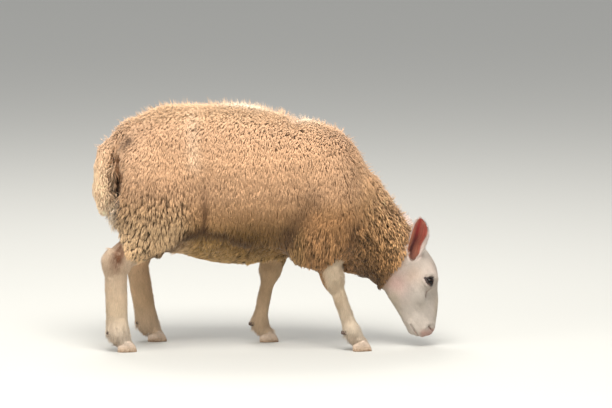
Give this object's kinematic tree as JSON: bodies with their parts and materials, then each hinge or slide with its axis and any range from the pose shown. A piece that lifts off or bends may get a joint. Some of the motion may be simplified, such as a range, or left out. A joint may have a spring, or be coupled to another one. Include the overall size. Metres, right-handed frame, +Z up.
{
  "type": "sheep",
  "caption": "Lamb in full fleece, grazing with its head down to the ground, with a bare white face, upright ears, white legs and a woolly tail.",
  "frame": {"origin": "on the floor, under the middle of the bounding box", "axes": "+X towards the head along the animal's length, +Y to the animal's left, +Z up"},
  "size_m": [0.8372, 0.3272, 0.5949],
  "materials": {
    "wool": "warm cream fleece in crimped staples, browner between the staples",
    "hair": "short white hair lying flat over pale pink skin",
    "hide": "pale pink skin, nearly bare inside the ears",
    "eye": "wet dark brown eye with a level slot pupil",
    "horn": "grey brown hoof horn, faintly ringed and dusty"
  },
  "bodies": {
    "root": {"trunk": "wool", "neck": "wool", "tail": "wool", "head": "hair", "ear_left": "hide", "eye_left": "eye", "foreleg_left_upper": "wool", "foreleg_left_lower": "hair", "hoof_fore_left_outer": "horn", "dewclaw_fore_left_outer": "horn", "hoof_fore_left_inner": "horn", "dewclaw_fore_left_inner": "horn", "hindleg_left_upper": "wool", "hindleg_left_lower": "hair", "hoof_hind_left_outer": "horn", "dewclaw_hind_left_outer": "horn", "hoof_hind_left_inner": "horn", "dewclaw_hind_left_inner": "horn", "ear_right": "hide", "eye_right": "eye", "foreleg_right_upper": "wool", "foreleg_right_lower": "hair", "hoof_fore_right_outer": "horn", "dewclaw_fore_right_outer": "horn", "hoof_fore_right_inner": "horn", "dewclaw_fore_right_inner": "horn", "hindleg_right_upper": "wool", "hindleg_right_lower": "hair", "hoof_hind_right_outer": "horn", "dewclaw_hind_right_outer": "horn", "hoof_hind_right_inner": "horn", "dewclaw_hind_right_inner": "horn"}
  },
  "joints": []
}
